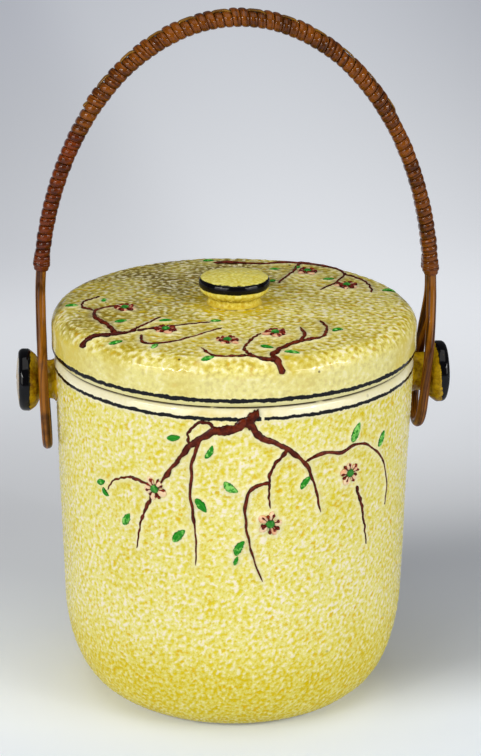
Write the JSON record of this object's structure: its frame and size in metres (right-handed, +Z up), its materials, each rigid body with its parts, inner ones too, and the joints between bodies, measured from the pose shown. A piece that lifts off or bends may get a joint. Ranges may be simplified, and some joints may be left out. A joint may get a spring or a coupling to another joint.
{
  "type": "biscuit jar",
  "caption": "Round earthenware biscuit jar with a lift-off knobbed lid, two side lugs and a rattan-bound cane handle that swings over the top.",
  "frame": {"origin": "centre of the jar's base, on the surface that it stands on", "axes": "+Z up along the jar's axis, +X through the right lug, -Y towards the pictured side"},
  "size_m": [0.1754, 0.1466, 0.2791],
  "materials": {
    "jar_glaze": "gloss, stippled",
    "lid_glaze": "gloss, stippled",
    "lug_glaze": "gloss, black painted edge",
    "knob_glaze": "gloss, black painted edge",
    "cane": "varnished",
    "dark_strip": "varnished",
    "strip": "varnished",
    "pale_strip": "varnished"
  },
  "bodies": {
    "jar": {"jar_body": "jar_glaze", "left_lug": "lug_glaze", "right_lug": "lug_glaze"},
    "lid": {"lid": "lid_glaze", "lid_knob": "knob_glaze"},
    "handle": {"left_cane": "cane", "right_cane": "cane", "left_binding": "dark_strip", "crown_binding": "strip", "right_binding": "strip", "leader_strip": "pale_strip", "left_collar": "dark_strip", "right_collar": "strip"}
  },
  "joints": [
    {"name": "lid_lift", "type": "slide", "parent": "jar", "child": "lid", "axis": [0, 0, 1], "range_m": [0, 0.02]},
    {"name": "handle_swing", "type": "hinge", "parent": "jar", "child": "handle", "pos_m": [0, 0, 0.1303], "axis": [1, 0, 0], "range_deg": [-145, 145]}
  ]
}
